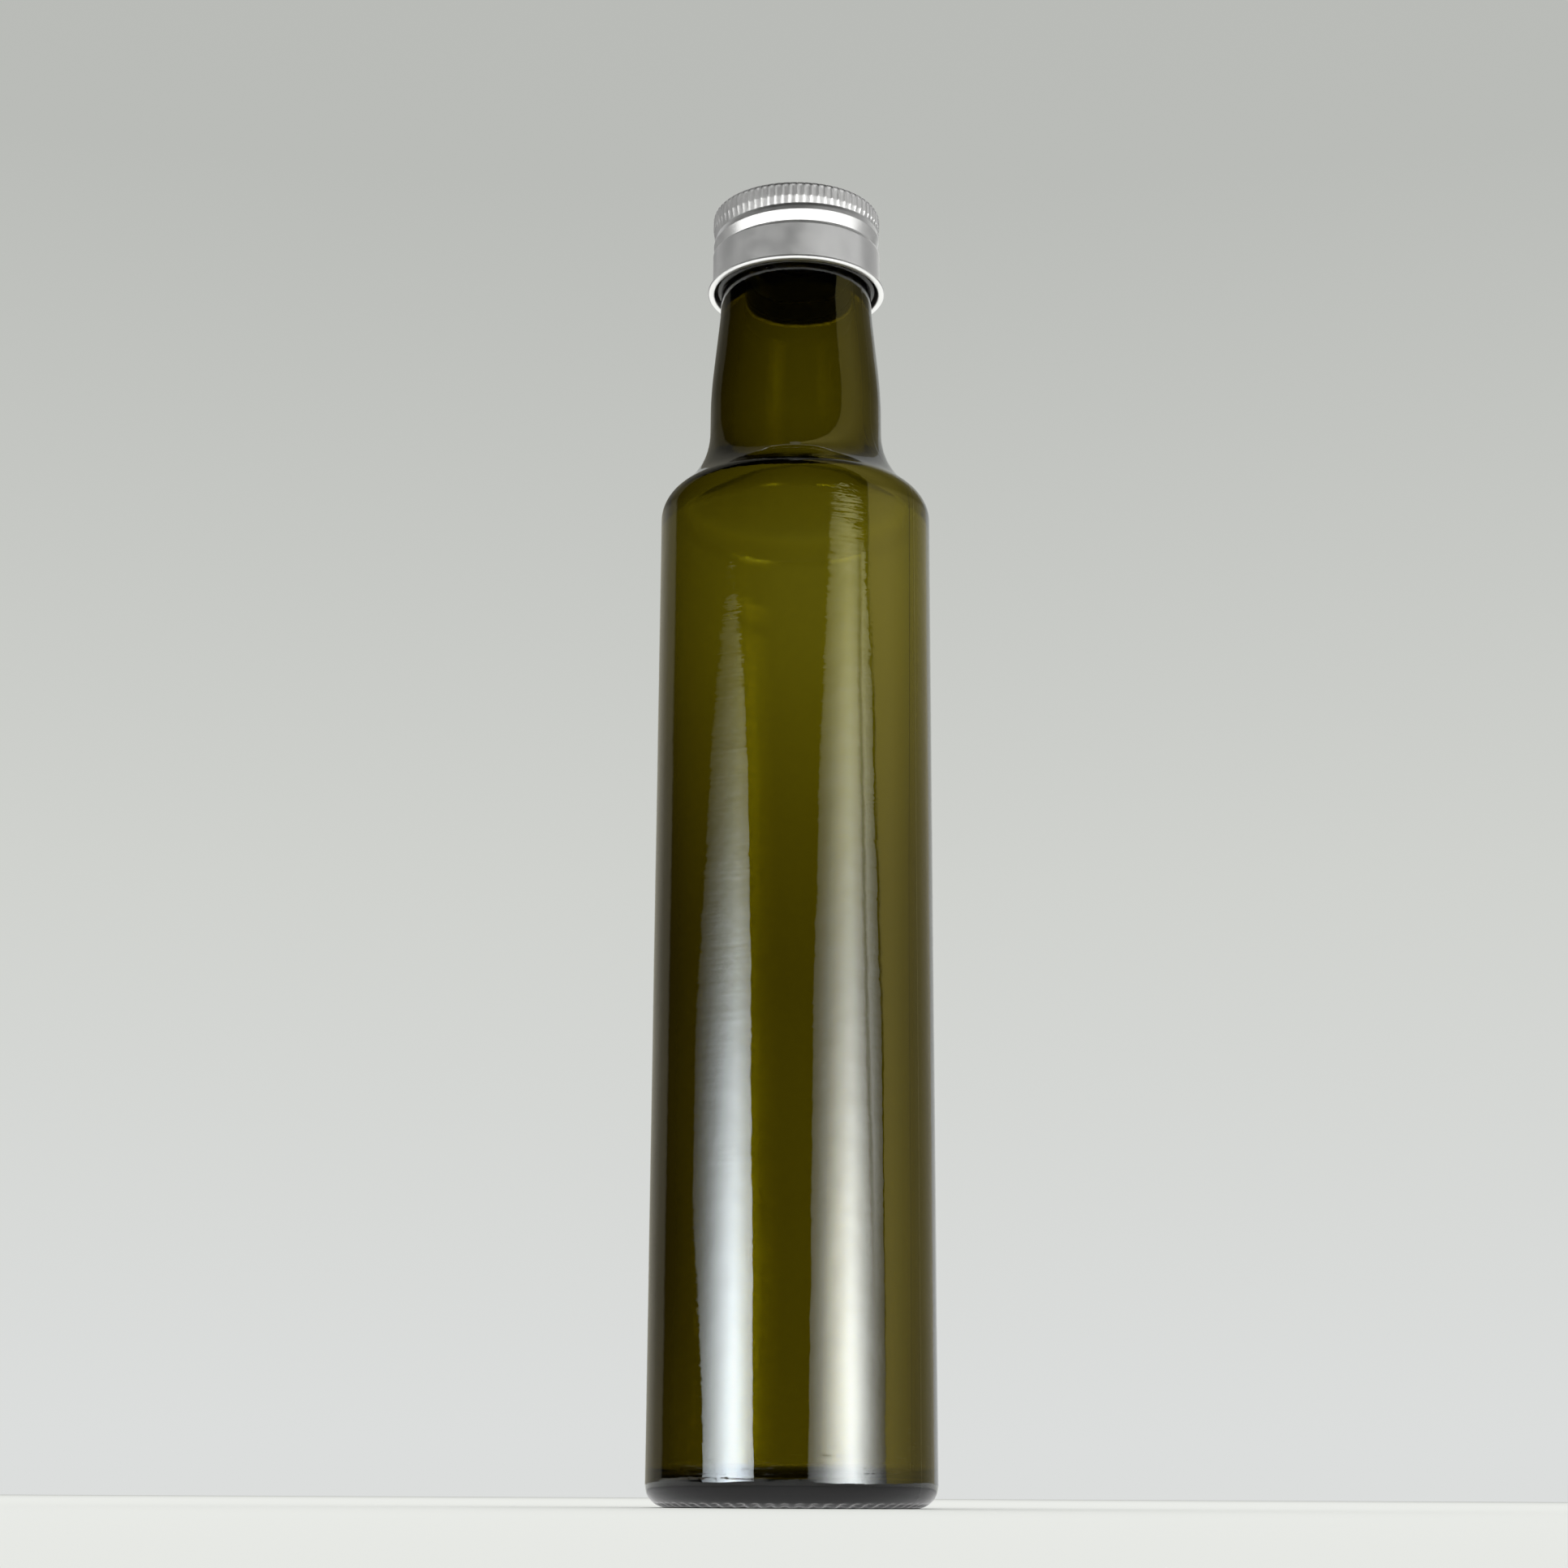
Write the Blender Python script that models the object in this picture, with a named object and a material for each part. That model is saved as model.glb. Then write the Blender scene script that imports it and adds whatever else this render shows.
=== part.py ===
# Slim round bottle for oil in olive-green glass, closed by a plain aluminium screw cap.
# Metres, +Z up. The origin is the centre of the base, on the surface that the bottle stands on,
# and the front faces -Y. Two pieces: glass_bottle, one hollow solid that is open at its mouth,
# and screw_cap, a thin metal cup over that mouth.

import math

import bmesh
import bpy

# Body and base of the glass
BODY_RADIUS = 0.0248
HEEL_RADIUS = 0.0038           # rounded bottom edge of the body
BEARING_INNER_RADIUS = 0.0184  # the flat ring that the bottle stands on starts here
PUNT_HEIGHT = 0.0026           # the underside is pushed up this far in the middle
STIPPLE_COUNT = 60             # small nubs round the heel, left by the knurling of the mould
STIPPLE_DEPTH = 0.00035
BASE_THICKNESS = 0.0036
INNER_HEEL_RADIUS = 0.0032
WALL_LOW = 0.0038              # the wall is thicker near the base than under the shoulder
WALL_HIGH = 0.0025

# Shoulder and neck: a convex arc turns in from the body, a concave one sweeps up into the neck
SHOULDER_RADIUS = 0.0059
SWEEP_RADIUS = 0.0163
SWEEP_TOP = 0.1939             # height where the sweep has become the upright neck
NECK_RADIUS = 0.0160
NECK_BEND_START = 0.1965       # above this the neck leans in on a long arc
NECK_BEND_RADIUS = 0.0900
NECK_LEAN = math.radians(6)
NECK_TOP_RADIUS = 0.01408      # just below the ring under the cap

# Finish under the cap: ring, thread and mouth
RING_RADIUS = 0.0149
RING_LOW = 0.2226
RING_HIGH = 0.2258
RING_EDGE = 0.0003
RING_SLOPE = 0.0006
ROOT_RADIUS = 0.0139           # glass between the ring and the mouth, under the thread
THREAD_RADIUS = 0.01492
THREAD_HEIGHT = 0.0014
THREAD_PITCH = 0.0040          # right-hand: it climbs to the right as seen from the front
THREAD_TURNS = 0.95
MOUTH_RADIUS = 0.0112
LIP_ROUND = 0.0008

# Screw cap, heights counted up from its rim
TOTAL_HEIGHT = 0.2382
CAP_HEIGHT = 0.0162
CAP_RADIUS = 0.0158
SHEET = 0.0003                 # aluminium sheet
GAP = 0.0003                   # air between the cap's top and the mouth below it
CORNER_RADIUS = 0.0010
CURL_RADIUS = 0.00045          # bead rolled outwards at the rim
RIB_COUNT = 72
RIB_DEPTH = 0.00025
RIB_TOP = 0.0152
RIB_LOW = 0.0132
RIB_RUNOUT = 0.0004
GROOVE_TOP = 0.0117            # the rolled groove's two edges at the front
GROOVE_LOW = 0.0073
GROOVE_DEPTH = 0.0006
GROOVE_START = math.radians(112)   # upper end, to the right of the front
GROOVE_END = math.radians(-165)    # lower end, round to the left
GROOVE_FADE = math.radians(25)     # it runs out over this angle at both ends

# Facets round each piece; the rows with nubs or ribs have two facets for each of them
GLASS_SIDES = STIPPLE_COUNT
CAP_SIDES = RIB_COUNT

CAP_RIM = TOTAL_HEIGHT - CAP_HEIGHT
MOUTH_TOP = TOTAL_HEIGHT - SHEET - GAP


def clear_scene():
    for obj in list(bpy.data.objects):
        bpy.data.objects.remove(obj, do_unlink=True)


def make_material(name, color, roughness, metallic=0.0, transmission=0.0):
    material = bpy.data.materials.new(name)
    material.use_nodes = True
    shader = material.node_tree.nodes["Principled BSDF"]
    shader.inputs["Base Color"].default_value = (*color, 1.0)
    shader.inputs["Roughness"].default_value = roughness
    shader.inputs["Metallic"].default_value = metallic
    shader.inputs["Transmission Weight"].default_value = transmission
    return material


def arc(center, radius, start, end, steps):
    """Profile points (r, z) on an arc, from start to end in degrees, both ends included."""
    points = []
    for i in range(steps + 1):
        angle = math.radians(start + (end - start) * i / steps)
        points.append((center[0] + radius * math.cos(angle), center[1] + radius * math.sin(angle)))
    return points


def level_row(sides, radius, height):
    """A level ring of points; on the axis it is a single point."""
    if radius == 0.0:
        return [(0.0, 0.0, height)]
    row = []
    for i in range(sides):
        turn = 2 * math.pi * i / sides
        row.append((radius * math.cos(turn), radius * math.sin(turn), height))
    return row


def level_rows(sides, profile):
    return [level_row(sides, radius, height) for radius, height in profile]


def bridge(bm, low, high):
    """Faces between two rows: of equal counts, of one count and its double, or from a pole."""
    if len(low) > len(high):
        low, high = high, low
    count = len(high)
    if len(low) == 1:
        for i in range(count):
            bm.faces.new((low[0], high[i], high[(i + 1) % count]))
    elif len(low) == count:
        for i in range(count):
            j = (i + 1) % count
            bm.faces.new((low[i], low[j], high[j], high[i]))
    else:
        for i, vert in enumerate(low):
            following = low[(i + 1) % len(low)]
            first, middle, last = high[2 * i], high[2 * i + 1], high[(2 * i + 2) % count]
            bm.faces.new((vert, middle, first))
            bm.faces.new((vert, following, middle))
            bm.faces.new((following, last, middle))


def link_mesh(name, bm, material):
    bmesh.ops.recalc_face_normals(bm, faces=bm.faces)
    mesh = bpy.data.meshes.new(name)
    bm.to_mesh(mesh)
    bm.free()
    mesh.shade_smooth()
    mesh.set_sharp_from_angle(angle=math.radians(35))
    mesh.materials.append(material)
    obj = bpy.data.objects.new(name, mesh)
    bpy.context.scene.collection.objects.link(obj)
    return obj


def make_skin(name, rows, material):
    """A closed skin through rows of points, from one point on the axis to another."""
    bm = bmesh.new()
    rings = [[bm.verts.new(point) for point in row] for row in rows]
    for low, high in zip(rings, rings[1:]):
        bridge(bm, low, high)
    return link_mesh(name, bm, material)


def turn_from_front(x, y):
    """Angle round the axis from the front, positive to the right, between -pi and pi."""
    return math.atan2(x, -y)


def climb(turn):
    """Rise of the groove along its turn; behind the cap, where there is none, it comes back."""
    if GROOVE_END <= turn <= GROOVE_START:
        return THREAD_PITCH * turn / (2 * math.pi)
    back = (turn - GROOVE_START) % (2 * math.pi)
    share = back / (2 * math.pi - GROOVE_START + GROOVE_END)
    return THREAD_PITCH * (GROOVE_START + (GROOVE_END - GROOVE_START) * share) / (2 * math.pi)


def smooth_step(share):
    share = min(max(share, 0.0), 1.0)
    return share * share * (3 - 2 * share)


def punt_profile(edge_radius, edge_height, steps):
    """The push-up from the axis out to its edge, a shallow dome."""
    profile = []
    for i in range(steps + 1):
        radius = edge_radius * i / steps
        profile.append((radius, edge_height + PUNT_HEIGHT * (1 - (radius / edge_radius) ** 2)))
    return profile


def stipple_row(heel_angle):
    """A row low on the heel with two points a nub: every other one is sunk into the glass."""
    angle = math.radians(heel_angle)
    row = []
    for i in range(2 * GLASS_SIDES):
        reach = HEEL_RADIUS - STIPPLE_DEPTH * (i % 2)
        radius = BODY_RADIUS - HEEL_RADIUS + reach * math.cos(angle)
        turn = math.pi * i / GLASS_SIDES
        height = HEEL_RADIUS + reach * math.sin(angle)
        row.append((radius * math.cos(turn), radius * math.sin(turn), height))
    return row


def shoulder_profile(wall):
    """The two tangent arcs from the body up to the neck, moved inwards by the wall."""
    both = SHOULDER_RADIUS + SWEEP_RADIUS
    rise = math.sqrt(both ** 2 - (both - BODY_RADIUS + NECK_RADIUS) ** 2)
    low_center = (BODY_RADIUS - SHOULDER_RADIUS, SWEEP_TOP - rise)
    high_center = (NECK_RADIUS + SWEEP_RADIUS, SWEEP_TOP)
    meeting = math.degrees(math.atan2(rise, high_center[0] - low_center[0]))
    convex = arc(low_center, SHOULDER_RADIUS - wall, 0, meeting, 5)
    concave = arc(high_center, SWEEP_RADIUS + wall, 180 + meeting, 180, 6)
    return convex + concave[1:]


def neck_profile(wall):
    """The neck above the sweep: upright, then leaning in until it reaches the ring."""
    bend_top = NECK_RADIUS - NECK_BEND_RADIUS * (1 - math.cos(NECK_LEAN))
    bend = arc((NECK_RADIUS - NECK_BEND_RADIUS, NECK_BEND_START), NECK_BEND_RADIUS,
               0, math.degrees(NECK_LEAN), 3)
    straight = (bend_top - NECK_TOP_RADIUS) / math.tan(NECK_LEAN)
    profile = bend + [(NECK_TOP_RADIUS, bend[-1][1] + straight)]
    return [(radius - wall, height) for radius, height in profile]


def ring_profile():
    """The ring under the cap, with bevelled edges, and the glass above it."""
    return [
        (NECK_TOP_RADIUS, RING_LOW - RING_SLOPE),
        (RING_RADIUS - RING_EDGE, RING_LOW),
        (RING_RADIUS, RING_LOW + RING_EDGE),
        (RING_RADIUS, RING_HIGH - RING_EDGE),
        (RING_RADIUS - RING_EDGE, RING_HIGH),
        (ROOT_RADIUS, RING_HIGH + RING_SLOPE),
    ]


def mouth_profile():
    """The rounded lip, from outside to inside."""
    height = MOUTH_TOP - LIP_ROUND
    outside = arc((ROOT_RADIUS - LIP_ROUND, height), LIP_ROUND, 0, 90, 3)
    inside = arc((MOUTH_RADIUS + LIP_ROUND, height), LIP_ROUND, 90, 180, 3)
    return outside + inside


def glass_rows():
    """Rows of the glass: up its outside from the push-up, over the lip and down to its floor."""
    shoulder = shoulder_profile(0.0)
    body_foot, body_top = HEEL_RADIUS, shoulder[0][1]
    body = [(BODY_RADIUS, body_foot + (body_top - body_foot) * i / 3) for i in (1, 2)]
    heel_center = (BODY_RADIUS - HEEL_RADIUS, HEEL_RADIUS)
    underside = punt_profile(BEARING_INNER_RADIUS, 0.0, 3) + [(heel_center[0], 0.0)]
    heel = arc(heel_center, HEEL_RADIUS, -48, 0, 3)
    outside = heel + body + shoulder + neck_profile(0.0) + ring_profile() + mouth_profile()

    floor_radius = BODY_RADIUS - WALL_LOW - INNER_HEEL_RADIUS
    inner_heel = arc((floor_radius, BASE_THICKNESS + INNER_HEEL_RADIUS), INNER_HEEL_RADIUS, -90, 0, 4)
    floor = punt_profile(floor_radius, BASE_THICKNESS, 3)
    inside = floor + inner_heel[1:] + shoulder_profile(WALL_HIGH) + neck_profile(WALL_HIGH)
    inside.append((MOUTH_RADIUS, RING_HIGH))

    rows = level_rows(GLASS_SIDES, underside)
    rows += [stipple_row(-80), stipple_row(-62)]
    rows += level_rows(GLASS_SIDES, outside)
    rows += level_rows(GLASS_SIDES, inside[::-1])
    return rows


def make_thread(material):
    """The raised thread on the glass, sunk a little into it, thinning out at both ends."""
    steps = round(THREAD_TURNS * GLASS_SIDES)
    run_out = 4
    start = GROOVE_START - GROOVE_FADE / 2
    middle = CAP_RIM + GROOVE_TOP + 0.7 * THREAD_HEIGHT
    foot_radius = ROOT_RADIUS - 0.0004
    bm = bmesh.new()
    sections = []
    for i in range(steps + 1):
        turn = start - 2 * math.pi * i / GLASS_SIDES
        height = middle + THREAD_PITCH * turn / (2 * math.pi)
        full = smooth_step(min(i, steps - i) / run_out)
        crest = foot_radius + (THREAD_RADIUS - foot_radius) * (0.5 + 0.5 * full)
        outline = (
            (foot_radius, -0.75 * THREAD_HEIGHT),
            (crest, -0.30 * THREAD_HEIGHT),
            (crest, 0.30 * THREAD_HEIGHT),
            (foot_radius, 0.75 * THREAD_HEIGHT),
        )
        sections.append([
            bm.verts.new((radius * math.sin(turn), -radius * math.cos(turn), height + up))
            for radius, up in outline
        ])
    for one, two in zip(sections, sections[1:]):
        bridge(bm, one, two)
    bm.faces.new(sections[0])
    bm.faces.new(sections[-1])
    thread = link_mesh("thread_guide", bm, material)
    thread.hide_render = True
    thread.display_type = "WIRE"
    return thread


def make_glass_bottle():
    glass = make_material("antique green glass", (0.17, 0.18, 0.02), 0.03, transmission=1.0)
    bottle = make_skin("glass_bottle", glass_rows(), glass)
    union = bottle.modifiers.new("Thread", "BOOLEAN")
    union.operation = "UNION"
    union.solver = "EXACT"
    union.object = make_thread(glass)


def rib_row(height):
    """A row with two points a rib: crests on the cap's radius, valleys inside it."""
    row = []
    for i in range(2 * CAP_SIDES):
        turn = math.pi * i / CAP_SIDES
        radius = CAP_RADIUS - RIB_DEPTH * (i % 2)
        row.append((radius * math.cos(turn), radius * math.sin(turn), height))
    return row


def groove_depth(share):
    """Depth of the groove across its width, from its upper edge at 0 to its lower edge at 1."""
    upper_flank = 0.65 * smooth_step(share / 0.32) + 0.35 * smooth_step((share - 0.25) / 0.45)
    lower_flank = 1 - smooth_step((share - 0.76) / 0.24)
    return GROOVE_DEPTH * upper_flank * lower_flank


def groove_row(share, wall):
    """A row along the groove, climbing with it; the groove fades out at its two ends."""
    row = []
    for x, y, height in level_row(CAP_SIDES, 1.0, CAP_RIM + GROOVE_TOP):
        turn = turn_from_front(x, y)
        end_distance = min(GROOVE_START - turn, turn - GROOVE_END)
        depth = groove_depth(share) * smooth_step(end_distance / GROOVE_FADE)
        radius = CAP_RADIUS - depth - wall
        height += climb(turn) - share * (GROOVE_TOP - GROOVE_LOW)
        row.append((radius * x, radius * y, height))
    return row


def cap_rows():
    """Rows of the cap: down its outside, round the curled rim and up its inside."""
    top = [(0.0, TOTAL_HEIGHT)] + arc(
        (CAP_RADIUS - CORNER_RADIUS, CAP_RIM + RIB_TOP), CORNER_RADIUS, 90, 25, 3)
    curl_center = (CAP_RADIUS + CURL_RADIUS, CAP_RIM + CURL_RADIUS)
    curl = [(CAP_RADIUS, CAP_RIM + 2.4 * CURL_RADIUS)] + arc(curl_center, CURL_RADIUS, 100, -90, 6)
    rim = arc((CAP_RADIUS, CAP_RIM + SHEET), SHEET, 270, 180, 2)

    band_radius = CAP_RADIUS - RIB_DEPTH - SHEET
    inner_corner = CORNER_RADIUS - SHEET
    inner_top = [(band_radius, CAP_RIM + RIB_LOW)] + arc(
        (band_radius - inner_corner, TOTAL_HEIGHT - CORNER_RADIUS), inner_corner, 0, 90, 2)
    inner_top.append((0.0, TOTAL_HEIGHT - SHEET))

    rows = level_rows(CAP_SIDES, top)
    rows += [rib_row(CAP_RIM + RIB_TOP), rib_row(CAP_RIM + RIB_LOW + RIB_RUNOUT)]
    rows += level_rows(CAP_SIDES, [(CAP_RADIUS, CAP_RIM + RIB_LOW)])
    rows += [groove_row(share, 0.0) for share in (0, 0.14, 0.32, 0.52, 0.72, 0.82, 0.91, 1)]
    rows += level_rows(CAP_SIDES, curl + rim)
    rows += [groove_row(share, SHEET) for share in (1, 0.91, 0.76, 0.52, 0.32, 0.14, 0)]
    rows += level_rows(CAP_SIDES, inner_top)
    return rows


def make_screw_cap():
    aluminium = make_material("satin aluminium", (0.72, 0.72, 0.71), 0.32, metallic=1.0)
    make_skin("screw_cap", cap_rows(), aluminium)


clear_scene()
make_glass_bottle()
make_screw_cap()
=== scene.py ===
# Round glass oil bottle with an aluminium screw cap: the finish of both pieces, the studio
# light and the camera. Metres, +Z up; the front faces -Y and +X is to the viewer's right.

import math

import bpy
import numpy as np
from mathutils import Matrix, Vector


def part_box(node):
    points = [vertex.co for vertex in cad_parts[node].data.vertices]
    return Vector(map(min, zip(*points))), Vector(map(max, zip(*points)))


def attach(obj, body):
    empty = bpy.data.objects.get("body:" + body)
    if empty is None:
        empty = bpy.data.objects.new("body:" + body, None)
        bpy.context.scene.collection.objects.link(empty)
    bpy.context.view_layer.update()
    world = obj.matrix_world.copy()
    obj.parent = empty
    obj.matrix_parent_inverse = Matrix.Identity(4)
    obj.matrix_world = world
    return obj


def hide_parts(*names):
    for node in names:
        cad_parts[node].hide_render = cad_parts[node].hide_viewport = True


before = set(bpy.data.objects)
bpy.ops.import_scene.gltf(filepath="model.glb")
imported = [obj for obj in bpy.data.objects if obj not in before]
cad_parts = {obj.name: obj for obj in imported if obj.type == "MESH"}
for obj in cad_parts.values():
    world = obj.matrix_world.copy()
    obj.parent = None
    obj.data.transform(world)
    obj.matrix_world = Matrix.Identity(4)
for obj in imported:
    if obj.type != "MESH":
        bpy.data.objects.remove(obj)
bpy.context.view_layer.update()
glassLow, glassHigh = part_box("glass_bottle")
capLow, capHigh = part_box("screw_cap")
mm = 0.001
fullTurn = 2 * math.pi

# The glass: heights from the base, radii from the axis
glassSizes = {
    "bodyRadius": glassHigh.x,
    "heelRadius": 3.8 * mm,
    "bearingInner": 18.4 * mm,      # the flat ring it stands on starts here
    "puntHeight": 2.6 * mm,         # push-up of the underside
    "nubCount": 60,                 # moulding nubs round the heel
    "nubDepth": 0.35 * mm,
    "floorThickness": 3.6 * mm,
    "innerHeel": 3.2 * mm,
    "wallLow": 3.85 * mm,           # wall of the lower half of the body
    "wallHigh": 2.5 * mm,           # and under the shoulder
    "wallThinsFrom": 85 * mm,       # it gets thinner between these heights
    "wallThinsTo": 172 * mm,
    "wallNeck": 3.6 * mm,
    "innerLean": 0.3 * mm,          # the inside is off centre to the right,
    "leanFrom": 8.0 * mm,           # growing between these heights
    "leanTo": 38.0 * mm,
    "boreTop": 10.4 * mm,           # inside radius at the top of the neck
    "boreTaper": 3.0 * mm,          # from there it widens to the mouth over this height
    "shoulderRadius": 5.9 * mm,     # convex arc out of the body
    "sweepRadius": 16.3 * mm,       # concave arc into the neck
    "sweepTop": 193.9 * mm,
    "innerShoulder": 7.0 * mm,      # the same two arcs inside, rounder
    "innerSweep": 16.0 * mm,
    "innerSweepTop": 193.5 * mm,
    "neckRadius": 16.0 * mm,
    "bendStart": 196.5 * mm,
    "bendRadius": 90.0 * mm,
    "neckLean": math.radians(6),
    "neckTopRadius": 14.08 * mm,
    "ringRadius": 14.9 * mm,
    "ringLow": 222.6 * mm,
    "ringHigh": 225.8 * mm,
    "ringEdge": 0.3 * mm,
    "ringSlope": 0.2 * mm,
    "rootRadius": 13.9 * mm,
    "mouthRadius": 11.2 * mm,
    "lipRound": 0.8 * mm,
    "mouthTop": glassHigh.z,
    "threadRadius": 14.92 * mm,
    "threadHeight": 1.4 * mm,
    "threadTurns": 0.95,
    "threadRise": 0.7,              # its height above the groove, as a share of its own height
    "threadFlank": (0.3, 0.75),     # and where its sides start and end, in the same way
    "threadFade": math.radians(24),
    "sides": 400,
    "nubSharpness": 0.8,
    "nubEnd": -52.0,                # degrees round the heel where the nubs stop
    "nubFade": 8.0,
    "waveHeight": 0.14 * mm,        # slow unevenness of blown glass, mostly on its inside
    "waveLength": 14 * mm,
    "outerWave": 0.4,               # share of the waves that the moulded outside shows
    "seed": 4,
    "seamTurn": -59.0,              # degrees round the body from the front
    "seamWidth": 0.25 * mm,
    "seamHeight": 0.5,              # seam and ripples, as shares of the skin's unevenness
    "rippleHeight": 0.16,
    "rippleScale": (40.0, 40.0, 1400.0),
    "unevenScale": 180.0,
    "skinDepth": 0.036 * mm,
    "tint": "#D4CF00",              # what this colour lacks is absorbed inside, at this rate a metre
    "tintDensity": 1000.0,
    "refraction": 1.52,
    "roughness": 0.004,
}

# The cap: heights up from its rim
capSizes = {
    "rim": capLow.z,
    "height": capHigh.z - capLow.z,
    "radius": 15.8 * mm,
    "sheet": 0.3 * mm,
    "corner": 1.0 * mm,
    "curl": 0.45 * mm,              # bead rolled outwards at the rim
    "ribCount": 72,
    "ribDepth": 0.25 * mm,
    "ribSharpness": 2.8,            # above 1 the crests get narrower than the valleys
    "ribTop": 15.2 * mm,
    # corners of the rolled band: height, depth all round, depth where the groove runs, ribs, climb
    "rolled": [(13.3, 0.0, 0.0, 1.0, 0.0), (11.8, 0.38, 0.0, 0.0, 0.9), (11.2, 0.2, 0.0, 0.0, 0.85),
               (10.45, 0.1, 0.0, 0.0, 0.75), (8.4, 0.0, 0.6, 0.0, 0.5), (7.75, 0.0, 0.0, 0.0, 0.4)],
    "grooveTop": 11.7 * mm,
    "pitch": 4.0 * mm,              # the groove climbs this much in a turn, to the right
    "grooveStart": math.radians(112),
    "grooveEnd": math.radians(-165),
    "grooveFade": math.radians(25),
    "cornerSoft": 0.09,             # the band's corners are rounded by this much, in mm
    "sides": 720,
    "shades": ("#DCDCDB", "#E4E4E2"),
    "roughness": (0.3, 0.4),
    "markScale": 1600.0,
    "markDepth": 0.03 * mm,
    "blotchScale": 260.0,
}

# Camera, fitted to the outline of the body, the cap's rim and the base
cameraView = {
    "imagePixels": 1932,
    "focalPixels": 3314.4,
    "sensor": 36.0,
    "place": (-1.86 * mm, -469.8 * mm, 1.87 * mm),
    "pitch": 14.84,
    "roll": 0.28,
}

# The two soft lights: edges are (elevation, inner azimuth, outer azimuth); the glow is brightest
# at the hot azimuth and at the foot, warmer higher up, and dim along a bar of its frame, which is
# given as (elevation, azimuth)
leftLight = {
    "edges": [(-4, -29.2, -72), (0, -30.2, -73), (2.5, -31.2, -79), (5, -32.3, -87), (9.5, -34.7, -86),
              (11, -35.2, -82), (13, -36.7, -78), (15, -38.7, -74), (17, -42, -69.5), (18.4, -47, -63),
              (19.2, -53, -57)],
    "hot": -46.5, "innerWidth": 15.5, "outerWidth": 18.5,
    "foot": 20.0, "footFall": 9.3, "haze": 2.0, "hazeFall": 22,
    "cool": (0.90, 1.0, 1.07), "warm": (1.0, 1.0, 0.45), "bar": [],
}
rightLight = {
    "edges": [(-4, 12, 77.5), (0, 12.5, 77.5), (9, 15.5, 75.5), (11, 16.5, 72.5), (13, 18.5, 71),
              (15, 19.8, 68), (17, 23, 67.5), (19, 26.3, 63), (20.3, 29, 60), (21, 31, 56), (21.3, 34, 50)],
    "hot": 46.5, "innerWidth": 17.3, "outerWidth": 14.5,
    "foot": 12.8, "footFall": 6.8, "haze": 8.8, "hazeFall": 25,
    "cool": (0.95, 1.0, 1.0), "warm": (1.0, 1.0, 0.45),
    "bar": [(3, 67), (6, 64.5), (9, 62), (13, 59), (17, 56)],
}

# Studio: directions seen from the middle of the bottle, azimuth 0 towards the camera and
# positive to its right, elevation above the floor, both in degrees
studio = {
    "centre": (0.0, 0.0, 0.12),
    "lightDistance": 5.0,
    "lightSpread": 1.6,             # power of the glow's fall to both sides
    "warmFrom": 7.5,                # the lights turn warm between these elevations
    "warmTo": 23.5,
    "barFrom": 2.0,                 # and the bar grows out of nothing between these
    "barTo": 7.0,
    "barBrighter": (0.65, 3.0),     # how much brighter beyond the bar, and within how many degrees
    "barDarker": (0.5, 1.8),        # how much darker on it, and how wide
    "screenDistance": 7.0,
    # azimuth, glow and warmth of what the flanks reflect
    "screenShades": [(-170, 0.45, 0.3), (-148, 0.4, 0.3), (-135, 0.27, 0.35), (-124, 0.26, 0.35),
                     (-121, 0.01, 0.0), (76.3, 0.01, 0.0), (77.5, 1.3, 1.0), (84, 1.25, 1.0), (92, 1.0, 1.0),
                     (100, 0.75, 1.0), (112, 0.45, 0.9), (125, 0.4, 0.8), (140, 0.45, 0.5), (150, 0.6, 0.4)],
    "screenStart": 77.5,            # the warm part of the shades starts here beside the right light
    "screenGap": 3.2,               # higher up it follows the light's edge at this gap,
    "screenNarrowest": 61.5,        # but not further in than this edge
    "screenWarmth": (1.02, 0.88, 0.3),
    "screenLow": -2,
    "screenHigh": 87,
    "screenDims": (20, 25, 0.45),   # from and to this elevation the screen dims to this share
    # a pale ring on the floor, seen only as a reflection in the heel
    "cardReach": (20.6 * mm, 50 * mm),
    "cardHeight": 0.15 * mm,
    "cardGlow": 0.8,
    "cardFade": 0.35,
    # panels that only the cap reflects: azimuth, elevation from the cap, width, height and glow
    "panels": [(-42, 1.8, 5.0, 0.62, 2.9), (44, 1.8, 5.0, 0.62, 2.9), (-47, 24, 5.0, 1.2, 0.25),
               (52, 24, 5.0, 1.2, 0.56), (-130, 17, 5.0, 2.1, 0.25), (130, 17, 5.0, 2.1, 0.3),
               (180, 62, 5.0, 3.0, 0.36), (0, -90, 12.0, 12.0, 0.45)],
    "panelDistance": 2.6,
    "lowPanelDistance": 0.21,       # the panel under the cap lies just above the floor
    "overheadSize": 3.0,
    "overheadPlace": (0.0, 0.3, 2.5),
    "overheadGlow": 2.7,
    # sines of the elevation and the colours of the room there
    "backdrop": [(0.02, "#DCDEDD"), (0.22, "#D0D2CE"), (0.46, "#BABCB8"), (0.95, "#B4B5B1")],
    "floorColor": "#D9DAD8",
    "floorRadius": 3.0,
    "floorSides": 96,
}


def linear(hexColor):
    # sRGB hex to the linear values that shaders take
    shades = []
    for place in (1, 3, 5):
        shade = int(hexColor[place:place + 2], 16) / 255
        shades.append(shade / 12.92 if shade <= 0.04045 else ((shade + 0.055) / 1.055) ** 2.4)
    return (*shades, 1.0)


def addNode(tree, kind, inputs=None, **settings):
    # one node with its settings; an input is a value or a socket to link
    node = tree.nodes.new(kind)
    for name, value in settings.items():
        setattr(node, name, value)
    for name, value in (inputs or {}).items():
        if isinstance(value, bpy.types.NodeSocket):
            tree.links.new(value, node.inputs[name])
        else:
            node.inputs[name].default_value = value
    return node


def newMaterial(name):
    material = bpy.data.materials.new(name)
    material.use_nodes = True
    material.node_tree.nodes.clear()
    return material, material.node_tree


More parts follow.
